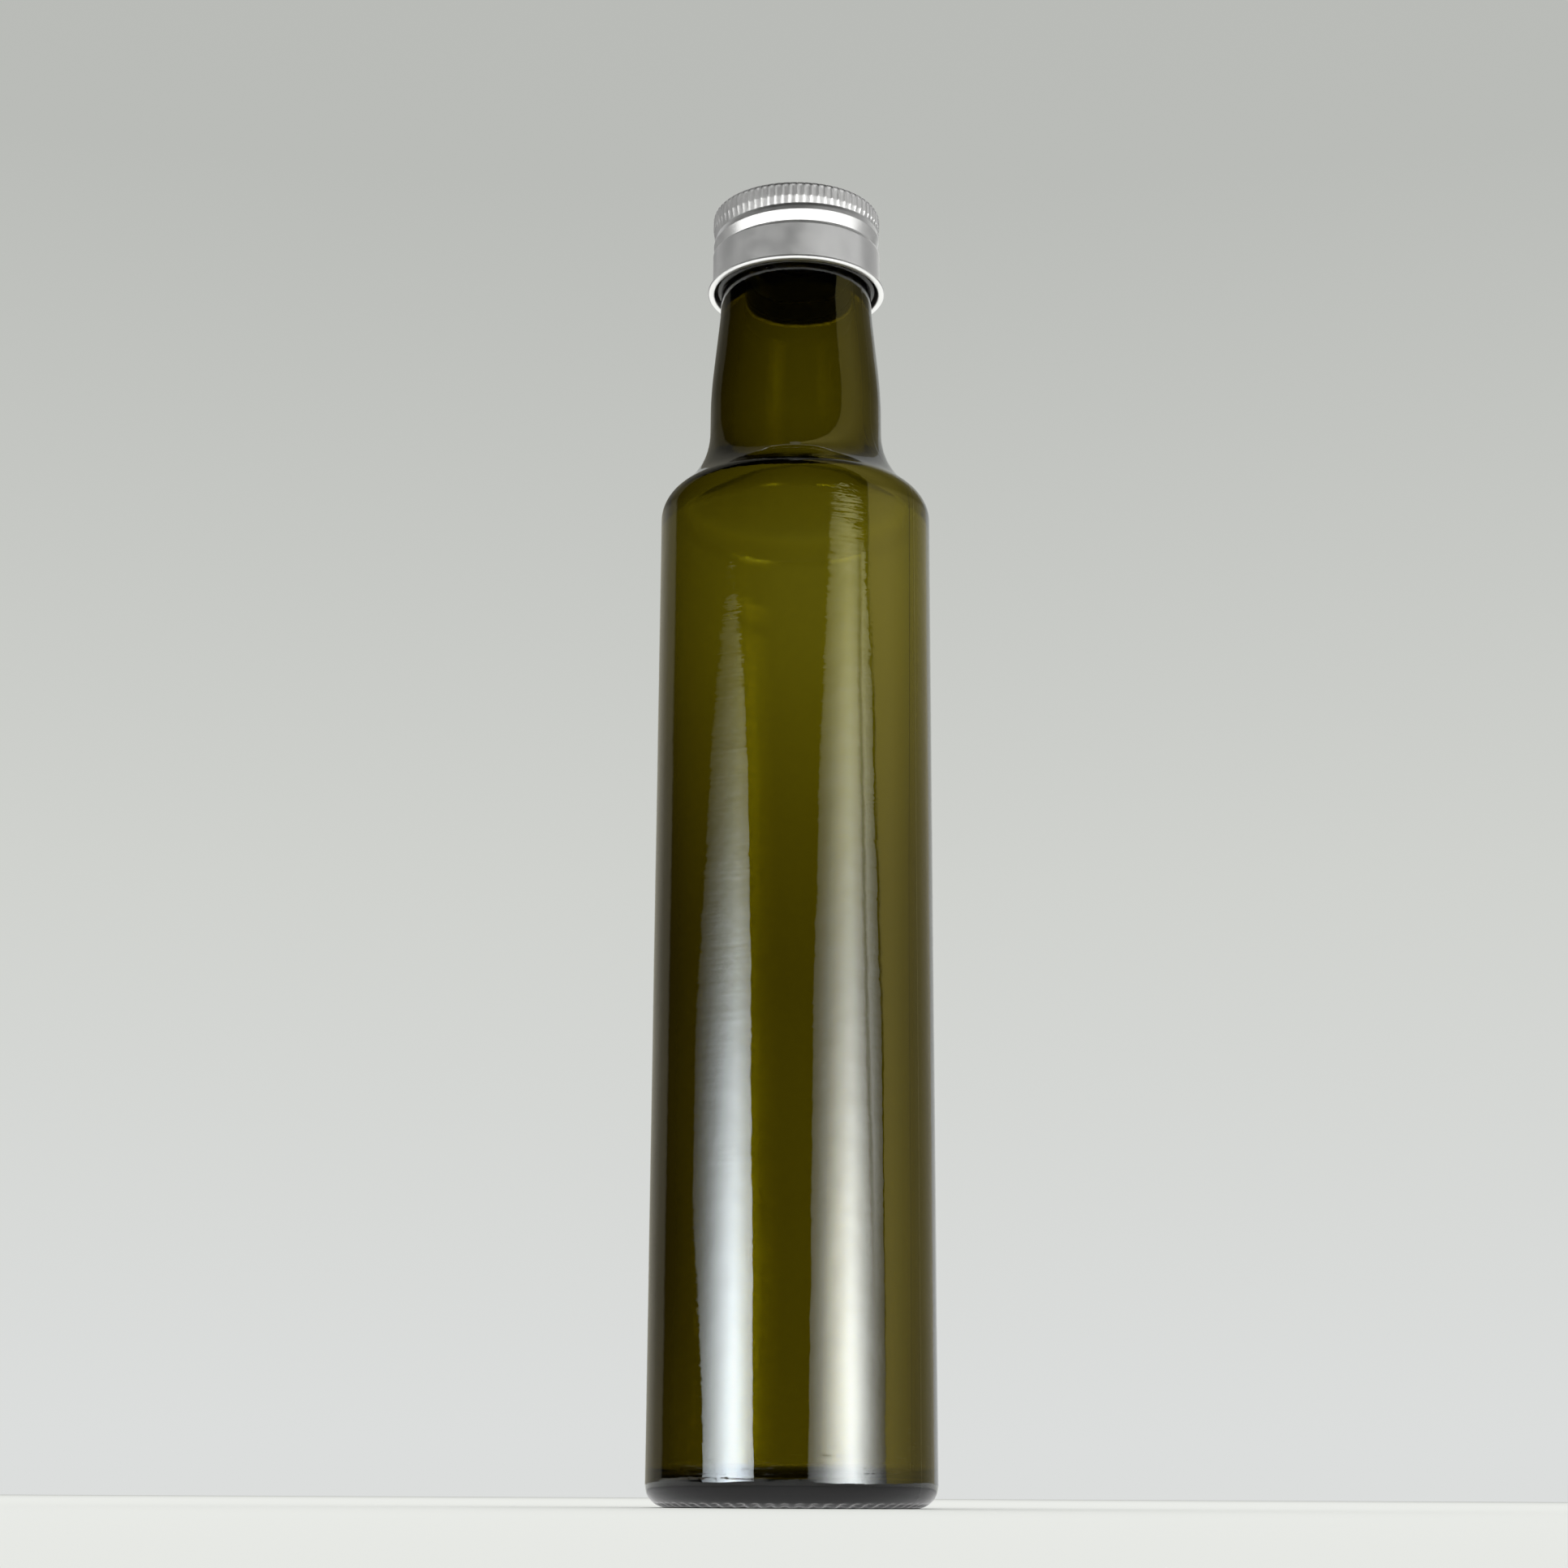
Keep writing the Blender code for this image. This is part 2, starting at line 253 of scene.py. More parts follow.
def makeGlassMaterial():
    # Antique-green soda-lime glass, blown in a mould: clear and glossy, deep olive by the light
    # that it absorbs on its way through, so thick places are darker. Its skin is slightly uneven,
    # with fine level ripples and a faint seam where the two mould halves met.
    s = glassSizes
    material, tree = newMaterial("antiqueGreenGlass")
    output = addNode(tree, "ShaderNodeOutputMaterial")
    place = addNode(tree, "ShaderNodeTexCoord").outputs["Object"]
    uneven = addNode(tree, "ShaderNodeTexNoise", {"Vector": place, "Scale": s["unevenScale"], "Detail": 4.0})
    flattened = addNode(tree, "ShaderNodeMapping", {"Vector": place, "Scale": s["rippleScale"]})
    ripples = addNode(tree, "ShaderNodeTexNoise", {
        "Vector": flattened.outputs[0], "Scale": 1.0, "Detail": 3.0})
    turned = addNode(tree, "ShaderNodeVectorRotate", {
        "Vector": place, "Angle": math.radians(s["seamTurn"])}, rotation_type="Z_AXIS")
    parts = addNode(tree, "ShaderNodeSeparateXYZ", {0: turned.outputs[0]})
    aside = addNode(tree, "ShaderNodeMath", {0: parts.outputs[0]}, operation="ABSOLUTE")
    seam = addNode(tree, "ShaderNodeMapRange", {
        "Value": aside.outputs[0], "From Min": 0.0, "From Max": s["seamWidth"],
        "To Min": s["seamHeight"], "To Max": 0.0}, interpolation_type="SMOOTHSTEP")
    fine = addNode(tree, "ShaderNodeMath", {
        0: ripples.outputs[0], 1: s["rippleHeight"], 2: uneven.outputs[0]}, operation="MULTIPLY_ADD")
    height = addNode(tree, "ShaderNodeMath", {0: fine.outputs[0], 1: seam.outputs[0]}, operation="ADD")
    bump = addNode(tree, "ShaderNodeBump", {
        "Height": height.outputs[0], "Strength": 1.0, "Distance": s["skinDepth"]})
    glass = addNode(tree, "ShaderNodeBsdfPrincipled", {
        "Base Color": (1.0, 1.0, 1.0, 1.0), "Roughness": s["roughness"], "IOR": s["refraction"],
        "Transmission Weight": 1.0, "Normal": bump.outputs[0]})
    depth = addNode(tree, "ShaderNodeVolumeAbsorption", {
        "Color": linear(s["tint"]), "Density": s["tintDensity"]})
    tree.links.new(glass.outputs[0], output.inputs["Surface"])
    tree.links.new(depth.outputs[0], output.inputs["Volume"])
    return material


def makeCapMaterial():
    # Deep-drawn aluminium sheet with a clear lacquer: a satin mirror with faint upright draw marks.
    s = capSizes
    material, tree = newMaterial("drawnSatinAluminium")
    output = addNode(tree, "ShaderNodeOutputMaterial")
    place = addNode(tree, "ShaderNodeTexCoord").outputs["Object"]
    stretched = addNode(tree, "ShaderNodeMapping", {"Vector": place, "Scale": (1.0, 1.0, 0.08)})
    marks = addNode(tree, "ShaderNodeTexNoise", {
        "Vector": stretched.outputs[0], "Scale": s["markScale"], "Detail": 3.0})
    blotches = addNode(tree, "ShaderNodeTexNoise", {
        "Vector": place, "Scale": s["blotchScale"], "Detail": 3.0})
    rough = addNode(tree, "ShaderNodeMapRange", {
        "Value": blotches.outputs[0], "From Min": 0.3, "From Max": 0.7,
        "To Min": s["roughness"][0], "To Max": s["roughness"][1]})
    bump = addNode(tree, "ShaderNodeBump", {
        "Height": marks.outputs[0], "Strength": 0.25, "Distance": s["markDepth"]})
    shade = addNode(tree, "ShaderNodeMix", {
        0: blotches.outputs[0], 6: linear(s["shades"][0]), 7: linear(s["shades"][1])}, data_type="RGBA")
    metal = addNode(tree, "ShaderNodeBsdfPrincipled", {
        "Base Color": shade.outputs[2], "Metallic": 1.0, "Roughness": rough.outputs[0],
        "Normal": bump.outputs[0]})
    tree.links.new(metal.outputs[0], output.inputs["Surface"])
    return material


def arcPoints(centre, radius, start, end, steps):
    # points (radius, height) on an arc, angles in degrees
    points = []
    for i in range(steps + 1):
        angle = math.radians(start + (end - start) * i / steps)
        points.append((centre[0] + radius * math.cos(angle), centre[1] + radius * math.sin(angle)))
    return points


def linePoints(first, last, steps):
    return [tuple(a + (b - a) * i / steps for a, b in zip(first, last)) for i in range(steps + 1)]


def smoothStep(share):
    share = min(max(share, 0.0), 1.0)
    return share * share * (3 - 2 * share)


rowShares = ("rib", "roll", "climb", "wave", "skin", "lean")


def rowsOf(points, **shares):
    # rows of a turned piece: each has its place and its shares of ribs, roll, climb, waves and lean
    rows = []
    for i, point in enumerate(points):
        row = {"place": point} | dict.fromkeys(rowShares, 0.0)
        for name, value in shares.items():
            row[name] = value[i] if isinstance(value, list) else value
        rows.append(row)
    return rows


def puntPoints(edgeRadius, edgeHeight, steps):
    rise = glassSizes["puntHeight"]
    radii = [edgeRadius * i / steps for i in range(steps + 1)]
    return [(radius, edgeHeight + rise * (1 - (radius / edgeRadius) ** 2)) for radius in radii]


def shoulderPoints(bodyRadius, neckRadius, convexRadius, sweepRadius, sweepTop):
    # the two tangent arcs from the body to the neck
    both = convexRadius + sweepRadius
    rise = math.sqrt(both ** 2 - (both - bodyRadius + neckRadius) ** 2)
    lowCentre = (bodyRadius - convexRadius, sweepTop - rise)
    highCentre = (neckRadius + sweepRadius, sweepTop)
    meeting = math.degrees(math.atan2(rise, highCentre[0] - lowCentre[0]))
    convex = arcPoints(lowCentre, convexRadius, 0, meeting, steps=14)
    concave = arcPoints(highCentre, sweepRadius, 180 + meeting, 180, steps=12)
    return convex + concave[1:]


def neckPoints(wallLow, wallHigh):
    s = glassSizes
    bendTop = s["neckRadius"] - s["bendRadius"] * (1 - math.cos(s["neckLean"]))
    bendCentre = (s["neckRadius"] - s["bendRadius"], s["bendStart"])
    bend = arcPoints(bendCentre, s["bendRadius"], 0, math.degrees(s["neckLean"]), steps=5)
    straight = (bendTop - s["neckTopRadius"]) / math.tan(s["neckLean"])
    neckTop = (s["neckTopRadius"], bend[-1][1] + straight)
    outside = bend + linePoints(bend[-1], neckTop, steps=5)[1:]
    low, high = outside[0][1], outside[-1][1]
    inside = []
    for radius, height in outside:
        wall = wallLow + (wallHigh - wallLow) * (height - low) / (high - low)
        inside.append((radius - wall, height))
    return inside


def bodyWall(height):
    s = glassSizes
    share = (height - s["wallThinsFrom"]) / (s["wallThinsTo"] - s["wallThinsFrom"])
    return s["wallLow"] + (s["wallHigh"] - s["wallLow"]) * smoothStep(share)


def bodyPoints(low, high, inside=False):
    # the upright body; rows close to both ends keep the arcs' bend out of it
    steps, margin, near, nearest = 28, 3 * mm, 1.2 * mm, 0.4 * mm
    heights = [low + nearest, low + near]
    heights += [low + margin + (high - low - 2 * margin) * i / steps for i in range(steps + 1)]
    heights += [high - near, high - nearest]
    return [(glassSizes["bodyRadius"] - (bodyWall(height) if inside else 0.0), height)
            for height in heights]


def ringPoints():
    s = glassSizes
    low, high = s["ringLow"], s["ringHigh"]
    edge, slope = s["ringEdge"], s["ringSlope"]
    lower = arcPoints((s["ringRadius"] - edge, low + edge), edge, -80, 0, steps=4)
    upper = arcPoints((s["ringRadius"] - edge, high - edge), edge, 0, 80, steps=4)
    neck = s["neckTopRadius"]
    foot = [(neck, low - slope - 0.2 * mm), (neck + 0.02 * mm, low - slope), (neck + 0.1 * mm, low)]
    return foot + lower + upper + [(s["rootRadius"], high + slope)]


def glassRows():
    # up the outside from the push-up, over the lip and down the inside to the floor
    s = glassSizes
    heelCentre = (s["bodyRadius"] - s["heelRadius"], s["heelRadius"])
    heelSteps = 18
    heel = arcPoints(heelCentre, s["heelRadius"], -90, 0, heelSteps)
    nubs = []
    for i in range(heelSteps + 1):
        angle = 90 * (i / heelSteps - 1)
        nubs.append(min(smoothStep((angle + 90) / s["nubFade"]),
                        smoothStep((s["nubEnd"] - angle) / s["nubFade"])))
    shoulder = shoulderPoints(
        s["bodyRadius"], s["neckRadius"], s["shoulderRadius"], s["sweepRadius"], s["sweepTop"])
    body = bodyPoints(heel[-1][1], shoulder[0][1])
    lipHeight = s["mouthTop"] - s["lipRound"]
    rootLow = (s["rootRadius"], s["ringHigh"] + s["ringSlope"])
    finish = linePoints(rootLow, (s["rootRadius"], lipHeight), steps=26)
    lip = arcPoints((s["rootRadius"] - s["lipRound"], lipHeight), s["lipRound"], 0, 90, steps=5)
    lip += arcPoints((s["mouthRadius"] + s["lipRound"], lipHeight), s["lipRound"], 90, 180, steps=5)

    floorRadius = s["bodyRadius"] - s["wallLow"] - s["innerHeel"]
    innerHeelCentre = (floorRadius, s["floorThickness"] + s["innerHeel"])
    innerHeel = arcPoints(innerHeelCentre, s["innerHeel"], -90, 0, steps=10)
    innerShoulder = shoulderPoints(
        s["bodyRadius"] - s["wallHigh"], s["neckRadius"] - s["wallNeck"],
        s["innerShoulder"], s["innerSweep"], s["innerSweepTop"])
    innerNeck = neckPoints(s["wallNeck"], s["neckTopRadius"] - s["boreTop"])
    innerBody = bodyPoints(innerHeel[-1][1], innerShoulder[0][1], inside=True)
    inside = puntPoints(floorRadius, s["floorThickness"], steps=8) + innerHeel[1:] + innerBody
    inside += innerShoulder + innerNeck[1:] + [(s["boreTop"], s["ringHigh"])]
    inside.append((s["mouthRadius"], s["ringHigh"] + s["boreTaper"]))

    outer = s["outerWave"]
    rows = rowsOf(puntPoints(s["bearingInner"], 0.0, steps=8)[:-1])
    rows += rowsOf([(s["bearingInner"], 0.0), ((s["bearingInner"] + heelCentre[0]) / 2, 0.0)])
    rows += rowsOf(heel, rib=nubs)
    rows += rowsOf(body, wave=outer)
    rows += rowsOf(shoulder + neckPoints(0.0, 0.0)[1:-1], wave=outer)
    rows += rowsOf(ringPoints()[:-1] + finish + lip[1:])
    leanSpan = s["leanTo"] - s["leanFrom"]
    leans = [smoothStep((height - s["leanFrom"]) / leanSpan) for radius, height in inside]
    rows += rowsOf(inside[::-1], wave=1.0, skin=1.0, lean=leans[::-1])
    return rows


def rolledRows(wall):
    # the rolled band under the ribs, its corners slightly rounded
    s = capSizes
    corners = np.array(s["rolled"])
    soft = s["cornerSoft"]
    levels = []
    for first, last in zip(corners[:-1], corners[1:]):
        span = first[0] - last[0]
        shares = [soft * 0.35 / span, soft / span, *np.linspace(0.2, 0.8, 4), 1 - soft / span,
                  1 - soft * 0.35 / span]
        levels += [first + (last - first) * share for share in shares]
    points = [(s["radius"] - wall - dip * mm, s["rim"] + height * mm) for height, dip, *rest in levels]
    return rowsOf(points, roll=[level[2] * mm for level in levels], rib=[level[3] for level in levels],
                  climb=[level[4] for level in levels])


def capRows():
    # down the outside from the middle of the top, round the curled rim and up the inside
    s = capSizes
    rim, top = s["rim"], s["rim"] + s["height"]
    cornerSteps = 10
    corner = arcPoints((s["radius"] - s["corner"], rim + s["ribTop"]), s["corner"], 90, 0, cornerSteps)
    # the ribs fade in over the outer part of the corner
    cornerRibs = [smoothStep((i / cornerSteps - 0.4) / 0.6) for i in range(cornerSteps + 1)]
    cover = linePoints((0.0, top), corner[0], steps=6)[:-1]
    bandLow = rim + (s["rolled"][0][0] + 0.05) * mm
    skirtTop = rim + (s["rolled"][-1][0] - 0.05) * mm
    band = linePoints(corner[-1], (s["radius"], bandLow), steps=6)[1:]
    curlCentre = (s["radius"] + s["curl"], rim + s["curl"])
    curl = arcPoints(curlCentre, s["curl"], 170, -90, steps=16)
    skirt = [(s["radius"], skirtTop), (s["radius"], skirtTop - 0.15 * mm)]
    skirt += linePoints(skirt[-1], (s["radius"], rim + 1.8 * s["curl"]), steps=4)[1:]
    skirt.append((s["radius"], rim + 1.5 * s["curl"]))
    hem = arcPoints((s["radius"], rim + s["sheet"]), s["sheet"], 270, 180, steps=3)
    innerRadius = s["radius"] - s["ribDepth"] - s["sheet"]
    innerCorner = s["corner"] - s["sheet"]
    ceiling = arcPoints((innerRadius - innerCorner, top - s["corner"]), innerCorner, 0, 90, steps=5)

    rows = rowsOf(cover) + rowsOf(corner, rib=cornerRibs) + rowsOf(band, rib=1.0)
    rows += rolledRows(0.0)
    rows += rowsOf(skirt + curl + hem)
    inner = rolledRows(s["sheet"])[::-1]
    for row in inner:
        row["place"] = (row["place"][0] - s["ribDepth"] * row["rib"], row["place"][1])
        row["rib"], row["roll"] = 0.0, -row["roll"]
    rows += inner
    rows += rowsOf([(innerRadius, bandLow)] + ceiling + [(0.0, top - s["sheet"])])
    return rows


def buildTurnedTree():
    # turns a line of rows round the axis, with ribs, a climbing roll and slow waves
    tree = bpy.data.node_groups.new("turnedPiece", "GeometryNodeTree")
    sockets = [("Geometry", "Geometry"), ("Sides", "Int"), ("Rib Count", "Int"), ("Rib Depth", "Float"),
               ("Rib Sharpness", "Float"), ("Pitch", "Float"), ("Roll Start", "Float"),
               ("Roll End", "Float"), ("Roll Fade", "Float"), ("Lean", "Float"), ("Wave Height", "Float"),
               ("Wave Length", "Float"), ("Seed", "Int"), ("Material", "Material")]
    for name, kind in sockets:
        tree.interface.new_socket(name, in_out="INPUT", socket_type="NodeSocket" + kind)
    tree.interface.new_socket("Geometry", in_out="OUTPUT", socket_type="NodeSocketGeometry")
    given = addNode(tree, "NodeGroupInput").outputs
    line = given["Geometry"]

    # a flat grid with a column for each side and a row for each point of the line
    size = addNode(tree, "GeometryNodeAttributeDomainSize", {"Geometry": line}, component="MESH")
    columns = addNode(tree, "ShaderNodeMath", {0: given["Sides"], 1: 1.0}, operation="ADD")
    grid = addNode(tree, "GeometryNodeMeshGrid", {
        "Vertices X": columns.outputs[0], "Vertices Y": size.outputs["Point Count"]})
    index = addNode(tree, "GeometryNodeInputIndex").outputs[0]
    rowNode = addNode(tree, "ShaderNodeMath", {
        0: index, 1: size.outputs["Point Count"]}, operation="FLOORED_MODULO")
    values = {"index": index, "rows": size.outputs["Point Count"], "row": rowNode.outputs[0]}
    for name, kind in sockets[1:-1]:
        values[name] = given[name]

    # what the line says about each row
    for name in rowShares:
        stored = addNode(tree, "GeometryNodeInputNamedAttribute", {"Name": name}, data_type="FLOAT")
        sample = addNode(tree, "GeometryNodeSampleIndex", {
            "Geometry": line, "Value": stored.outputs[0], "Index": values["row"]}, data_type="FLOAT")
        values[name] = sample.outputs[0]
    outward = addNode(tree, "GeometryNodeInputNamedAttribute", {"Name": "outward"},
                      data_type="FLOAT_VECTOR")
    place = addNode(tree, "GeometryNodeInputPosition")
    for name, source in (("place", place), ("outward", outward)):
        sample = addNode(tree, "GeometryNodeSampleIndex", {
            "Geometry": line, "Value": source.outputs[0], "Index": values["row"]},
            data_type="FLOAT_VECTOR")
        parts = addNode(tree, "ShaderNodeSeparateXYZ", {0: sample.outputs[0]})
        values[name + "R"], values[name + "Z"] = parts.outputs[0], parts.outputs[2]

    # each step: its name, the operation and what it works on
    def work(steps):
        for name, operation, *terms in steps:
            inputs = {i: values.get(term, term) for i, term in enumerate(terms)}
            values[name] = addNode(tree, "ShaderNodeMath", inputs, operation=operation).outputs[0]

    work([
        ("quotient", "DIVIDE", "index", "rows"),
        ("column", "FLOOR", "quotient"),
        ("share", "DIVIDE", "column", "Sides"),
        ("turn", "MULTIPLY_ADD", "share", fullTurn, -math.pi),
        ("sine", "SINE", "turn"),
        ("cosine", "COSINE", "turn"),
        ("phase", "MULTIPLY", "turn", "Rib Count"),
        ("ripple", "COSINE", "phase"),
        ("crest", "MULTIPLY_ADD", "ripple", 0.5, 0.5),
        ("crestSharp", "POWER", "crest", "Rib Sharpness"),
        ("valley", "SUBTRACT", 1.0, "crestSharp"),
        ("valleyDepth", "MULTIPLY", "valley", "Rib Depth"),
        ("ribCut", "MULTIPLY", "valleyDepth", "rib"),
        ("toStart", "SUBTRACT", "Roll Start", "turn"),
        ("toEnd", "SUBTRACT", "turn", "Roll End"),
        ("nearest", "MINIMUM", "toStart", "toEnd"),
        ("inside", "GREATER_THAN", "nearest", 0.0),
    ])
    fade = addNode(tree, "ShaderNodeMapRange", {
        "Value": values["nearest"], "From Max": values["Roll Fade"]}, interpolation_type="SMOOTHSTEP")
    values["fade"] = fade.outputs[0]
    work([
        ("rollCut", "MULTIPLY", "roll", "fade"),
        ("pastStart", "SUBTRACT", "turn", "Roll Start"),
        ("back", "FLOORED_MODULO", "pastStart", fullTurn),
        ("rollSpan", "SUBTRACT", "Roll Start", "Roll End"),
        ("backSpan", "SUBTRACT", fullTurn, "rollSpan"),
        ("backShare", "DIVIDE", "back", "backSpan"),
        ("backFall", "MULTIPLY", "backShare", "rollSpan"),
        ("backTurn", "SUBTRACT", "Roll Start", "backFall"),
        ("ahead", "SUBTRACT", "turn", "backTurn"),
        ("climbTurn", "MULTIPLY_ADD", "ahead", "inside", "backTurn"),
        ("climbRise", "MULTIPLY", "climbTurn", "Pitch"),
        ("climbHeight", "DIVIDE", "climbRise", fullTurn),
        ("rise", "MULTIPLY", "climbHeight", "climb"),
        ("waveX", "MULTIPLY", "placeR", "sine"),
        ("waveY", "MULTIPLY", "placeR", "cosine"),
        ("waveZ", "MULTIPLY", "placeZ", 0.6),
        ("waveScale", "DIVIDE", 1.0, "Wave Length"),
        ("waveSeed", "MULTIPLY_ADD", "skin", 7.3, "Seed"),
    ])
    waveAt = addNode(tree, "ShaderNodeCombineXYZ", {
        0: values["waveX"], 1: values["waveY"], 2: values["waveZ"]})
    noise = addNode(tree, "ShaderNodeTexNoise", {
        "Vector": waveAt.outputs[0], "W": values["waveSeed"], "Scale": values["waveScale"],
        "Detail": 2.0}, noise_dimensions="4D")
    values["noise"] = noise.outputs[0]
    work([
        ("swell", "MULTIPLY_ADD", "noise", 2.0, -1.0),
        ("swellHeight", "MULTIPLY", "swell", "Wave Height"),
        ("swellOut", "MULTIPLY", "swellHeight", "wave"),
        ("leanSide", "MULTIPLY", "sine", "Lean"),
        ("leanOut", "MULTIPLY", "leanSide", "lean"),
        ("leaning", "SUBTRACT", "swellOut", "leanOut"),
        ("uncut", "SUBTRACT", "leaning", "ribCut"),
        ("out", "SUBTRACT", "uncut", "rollCut"),
        ("radius", "MULTIPLY_ADD", "out", "outwardR", "placeR"),
        ("lift", "MULTIPLY_ADD", "out", "outwardZ", "placeZ"),
        ("height", "ADD", "lift", "rise"),
        ("x", "MULTIPLY", "radius", "sine"),
        ("yBack", "MULTIPLY", "radius", "cosine"),
        ("y", "MULTIPLY", "yBack", -1.0),
    ])
    point = addNode(tree, "ShaderNodeCombineXYZ", {0: values["x"], 1: values["y"], 2: values["height"]})
    turned = addNode(tree, "GeometryNodeSetPosition", {
        "Geometry": grid.outputs["Mesh"], "Position": point.outputs[0]})
    closed = addNode(tree, "GeometryNodeMergeByDistance", {
        "Geometry": turned.outputs[0], "Distance": 0.001 * mm})
    smooth = addNode(tree, "GeometryNodeSetShadeSmooth", {"Geometry": closed.outputs[0]})
    realized = addNode(tree, "GeometryNodeRealizeInstances", {"Geometry": smooth.outputs[0]})
    finished = addNode(tree, "GeometryNodeSetMaterial", {
        "Geometry": realized.outputs[0], "Material": given["Material"]})
    addNode(tree, "NodeGroupOutput", {"Geometry": finished.outputs[0]})
    return tree


def outwardOf(rows, i):
    # across the line of rows, away from the solid: the line runs with the solid on its left
    before, after = rows[max(i - 1, 0)]["place"], rows[min(i + 1, len(rows) - 1)]["place"]
    along = Vector((after[0] - before[0], after[1] - before[1])).normalized()
    return (along.y, 0.0, -along.x)


def turnPiece(name, rows, tree, inputs, flip=False):
    # one mesh from a line of rows; flip is for a line that has the solid on its right
    line = bpy.data.meshes.new(name + "Line")
    line.from_pydata([(row["place"][0], 0.0, row["place"][1]) for row in rows],
                     [(i, i + 1) for i in range(len(rows) - 1)], [])
    for share in rowShares:
        stored = line.attributes.new(share, "FLOAT", "POINT")
        stored.data.foreach_set("value", [row[share] for row in rows])
    outward = line.attributes.new("outward", "FLOAT_VECTOR", "POINT")
    side = -1.0 if flip else 1.0
    vectors = [side * part for i in range(len(rows)) for part in outwardOf(rows, i)]
    outward.data.foreach_set("vector", vectors)
    carrier = bpy.data.objects.new(name + "Line", line)
    bpy.context.scene.collection.objects.link(carrier)
    modifier = carrier.modifiers.new("turn", "NODES")
    modifier.node_group = tree
    for item in tree.interface.items_tree:
        if item.in_out == "INPUT" and item.name in inputs:
            modifier[item.identifier] = inputs[item.name]
    evaluated = carrier.evaluated_get(bpy.context.evaluated_depsgraph_get())
    mesh = bpy.data.meshes.new_from_object(evaluated)
    mesh.name = name
    bpy.data.objects.remove(carrier)
    piece = bpy.data.objects.new(name, mesh)
    bpy.context.scene.collection.objects.link(piece)
    return piece


def meshPlaces(mesh):
    places = np.empty(len(mesh.vertices) * 3, np.float32)
    mesh.vertices.foreach_get("co", places)
    return places.reshape(-1, 3)


def pointOutwards(piece):
    # the signed volume tells which way the faces point
    mesh = piece.data
    mesh.calc_loop_triangles()
    corners = np.empty(len(mesh.loop_triangles) * 3, np.int32)
    mesh.loop_triangles.foreach_get("vertices", corners)
    places = meshPlaces(mesh).astype(float)[corners].reshape(-1, 3, 3)
    volume = np.einsum("ij,ij->i", places[:, 0], np.cross(places[:, 1], places[:, 2])).sum() / 6
    if volume < 0:
        mesh.flip_normals()
    print(f"{piece.name}: {len(mesh.loop_triangles)} triangles, {abs(volume) * 1e6:.1f} cm3")


def raiseThread(piece):
    # the one-turn thread under the cap follows the groove that is rolled in the cap
    s, c = glassSizes, capSizes
    places = meshPlaces(piece.data).astype(float)
    radius = np.hypot(places[:, 0], places[:, 1])
    turn = np.arctan2(places[:, 0], -places[:, 1])
    start = c["grooveStart"] - c["grooveFade"] / 2
    along = np.mod(start - turn, fullTurn)
    middle = c["rim"] + c["grooveTop"] + s["threadRise"] * s["threadHeight"]
    line = middle + c["pitch"] * (start - along) / fullTurn
    across = np.abs(places[:, 2] - line) / s["threadHeight"]
    flat, foot = s["threadFlank"]
    crest = np.clip((foot - across) / (foot - flat), 0, 1)
    toEnd = np.minimum(along, fullTurn * s["threadTurns"] - along)
    full = np.clip(toEnd / s["threadFade"], 0, 1)
    full = full * full * (3 - 2 * full)
    onRoot = np.abs(radius - s["rootRadius"]) < 0.05 * mm
    onRoot &= places[:, 2] > s["ringHigh"] + s["ringSlope"]
    rise = (s["threadRadius"] - s["rootRadius"]) * crest * full * onRoot
    places[:, :2] *= (1 + rise / np.maximum(radius, mm))[:, None]
    piece.data.vertices.foreach_set("co", places.astype(np.float32).ravel())
    piece.data.update()


def makeBottle(tree):
    s = glassSizes
    bottle = turnPiece("glassBottle", glassRows(), tree, {
        "Sides": s["sides"], "Rib Count": s["nubCount"], "Rib Depth": s["nubDepth"],
        "Rib Sharpness": s["nubSharpness"], "Pitch": 0.0, "Roll Start": math.pi, "Roll End": -math.pi,
        "Roll Fade": 1.0, "Lean": s["innerLean"],
        "Wave Height": s["waveHeight"], "Wave Length": s["waveLength"],
        "Seed": s["seed"], "Material": makeGlassMaterial()})
    raiseThread(bottle)
    pointOutwards(bottle)
    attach(bottle, "root")
    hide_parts("glass_bottle")
    bpy.data.collections["glassBottleLit"].objects.link(bottle)


def makeCap(tree):
    s = capSizes
    cap = turnPiece("screwCap", capRows(), tree, {
        "Sides": s["sides"], "Rib Count": s["ribCount"], "Rib Depth": s["ribDepth"],
        "Rib Sharpness": s["ribSharpness"], "Pitch": s["pitch"], "Roll Start": s["grooveStart"],
        "Roll End": s["grooveEnd"], "Roll Fade": s["grooveFade"], "Lean": 0.0, "Wave Height": 0.0,
        "Wave Length": 1.0, "Seed": 0, "Material": makeCapMaterial()}, flip=True)
    pointOutwards(cap)
    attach(cap, "root")
    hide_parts("screw_cap")
    bpy.data.collections["screwCapLit"].objects.link(cap)


def direction(azimuth, elevation):
    a, e = math.radians(azimuth), math.radians(elevation)
    return Vector((math.sin(a) * math.cos(e), -math.cos(a) * math.cos(e), math.sin(e)))


def addStageMesh(name, points, faces, material):
    mesh = bpy.data.meshes.new(name)
    mesh.from_pydata(points, [], faces)
    mesh.materials.append(material)
    stageObject = bpy.data.objects.new(name, mesh)
    bpy.context.scene.collection.objects.link(stageObject)
    return stageObject


def lightOnly(lamp, pieceName):
    # the lamp lights one piece only
    name = pieceName + "Lit"
    lit = bpy.data.collections.get(name) or bpy.data.collections.new(name)
    lamp.light_linking.receiver_collection = lit


